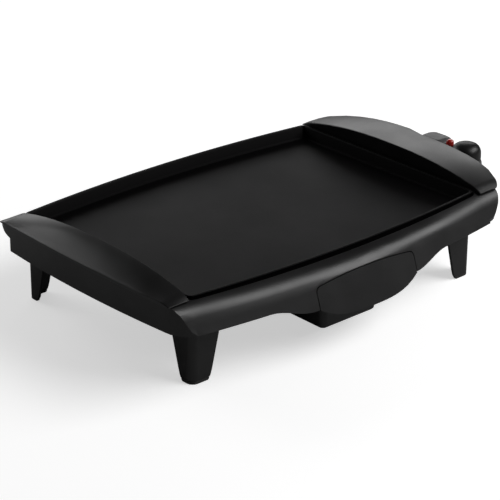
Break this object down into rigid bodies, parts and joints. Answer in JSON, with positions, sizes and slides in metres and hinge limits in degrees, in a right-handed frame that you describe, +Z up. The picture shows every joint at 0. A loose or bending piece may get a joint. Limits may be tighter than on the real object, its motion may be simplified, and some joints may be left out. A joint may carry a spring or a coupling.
{
  "type": "electric griddle",
  "caption": "Black electric table griddle: wide shallow coated plate with bowed long sides in a low frame on legs, end covers, drip drawer and plug-in thermostat.",
  "frame": {"origin": "on the table, in the middle of the overall box of the whole appliance", "axes": "+Z up; +X along the plate's length to the thermostat end; -Y to the drip drawer, so +Y is the rear"},
  "size_m": [0.54, 0.3532, 0.113],
  "materials": {
    "frame_plastic": "fine-grained satin black",
    "cover_plastic": "smooth satin black",
    "panel_plastic": "satin black",
    "coated_aluminium": "dark non-stick coating",
    "sheet_steel": "plain rolled steel",
    "element_steel": "dark oxidised tube",
    "screw_steel": "zinc plated",
    "contact_brass": "plain",
    "ceramic": "glazed ceramic, cream",
    "rubber_black": "matt",
    "thermostat_plastic": "satin grey",
    "knob_plastic": "satin dark grey",
    "red_lens": "clear red",
    "lamp_glass": "clear"
  },
  "bodies": {
    "base": {"base_frame": "frame_plastic", "near_handle_cap": "cover_plastic", "far_handle_cap": "cover_plastic", "reflector_pan": "sheet_steel", "heating_element": "element_steel", "element_clamp_front": "sheet_steel", "element_clamp_rear": "sheet_steel", "element_clamp_near": "sheet_steel", "terminal_guard": "sheet_steel", "guard_screw_front": "screw_steel", "guard_screw_rear": "screw_steel", "terminal_bushing_front": "ceramic", "terminal_bushing_rear": "ceramic", "terminal_pin_front": "contact_brass", "terminal_pin_rear": "contact_brass", "probe_sleeve": "sheet_steel", "tray_rail_near": "sheet_steel", "tray_rail_far": "sheet_steel", "leg_near_front": "frame_plastic", "foot_pad_near_front": "rubber_black", "leg_screw_near_front": "screw_steel", "pan_screw_near_front": "screw_steel", "rail_screw_near_front": "screw_steel", "near_cap_screw_front": "screw_steel", "leg_near_rear": "frame_plastic", "foot_pad_near_rear": "rubber_black", "leg_screw_near_rear": "screw_steel", "pan_screw_near_rear": "screw_steel", "rail_screw_near_rear": "screw_steel", "near_cap_screw_rear": "screw_steel", "leg_far_front": "frame_plastic", "foot_pad_far_front": "rubber_black", "leg_screw_far_front": "screw_steel", "pan_screw_far_front": "screw_steel", "rail_screw_far_front": "screw_steel", "far_cap_screw_front": "screw_steel", "leg_far_rear": "frame_plastic", "foot_pad_far_rear": "rubber_black", "leg_screw_far_rear": "screw_steel", "pan_screw_far_rear": "screw_steel", "rail_screw_far_rear": "screw_steel", "far_cap_screw_rear": "screw_steel"},
    "plate": {"cooking_plate": "coated_aluminium"},
    "drawer": {"drip_tray": "frame_plastic", "tray_front_panel": "panel_plastic"},
    "thermostat": {"thermostat_base": "thermostat_plastic", "thermostat_cover": "thermostat_plastic", "switch_block": "ceramic", "sensor_probe": "sheet_steel", "socket_contact_front": "contact_brass", "socket_contact_rear": "contact_brass", "cord_inlet": "rubber_black", "indicator_lens": "red_lens", "indicator_lamp": "lamp_glass", "housing_screw_front": "screw_steel", "housing_screw_rear": "screw_steel"},
    "knob": {"control_knob": "knob_plastic", "control_shaft": "sheet_steel"}
  },
  "joints": [
    {"name": "plate_lift", "type": "slide", "parent": "base", "child": "plate", "axis": [0, 0, 1], "range_m": [0, 0.06]},
    {"name": "drawer_slide", "type": "slide", "parent": "base", "child": "drawer", "axis": [0, -1, 0], "range_m": [0, 0.125]},
    {"name": "thermostat_pull", "type": "slide", "parent": "base", "child": "thermostat", "axis": [1, 0, 0], "range_m": [0, 0.06]},
    {"name": "knob_turn", "type": "hinge", "parent": "thermostat", "child": "knob", "pos_m": [0.2425, -0.0425, 0.087], "axis": [0, 0, 1], "range_deg": [-270, 0]}
  ]
}
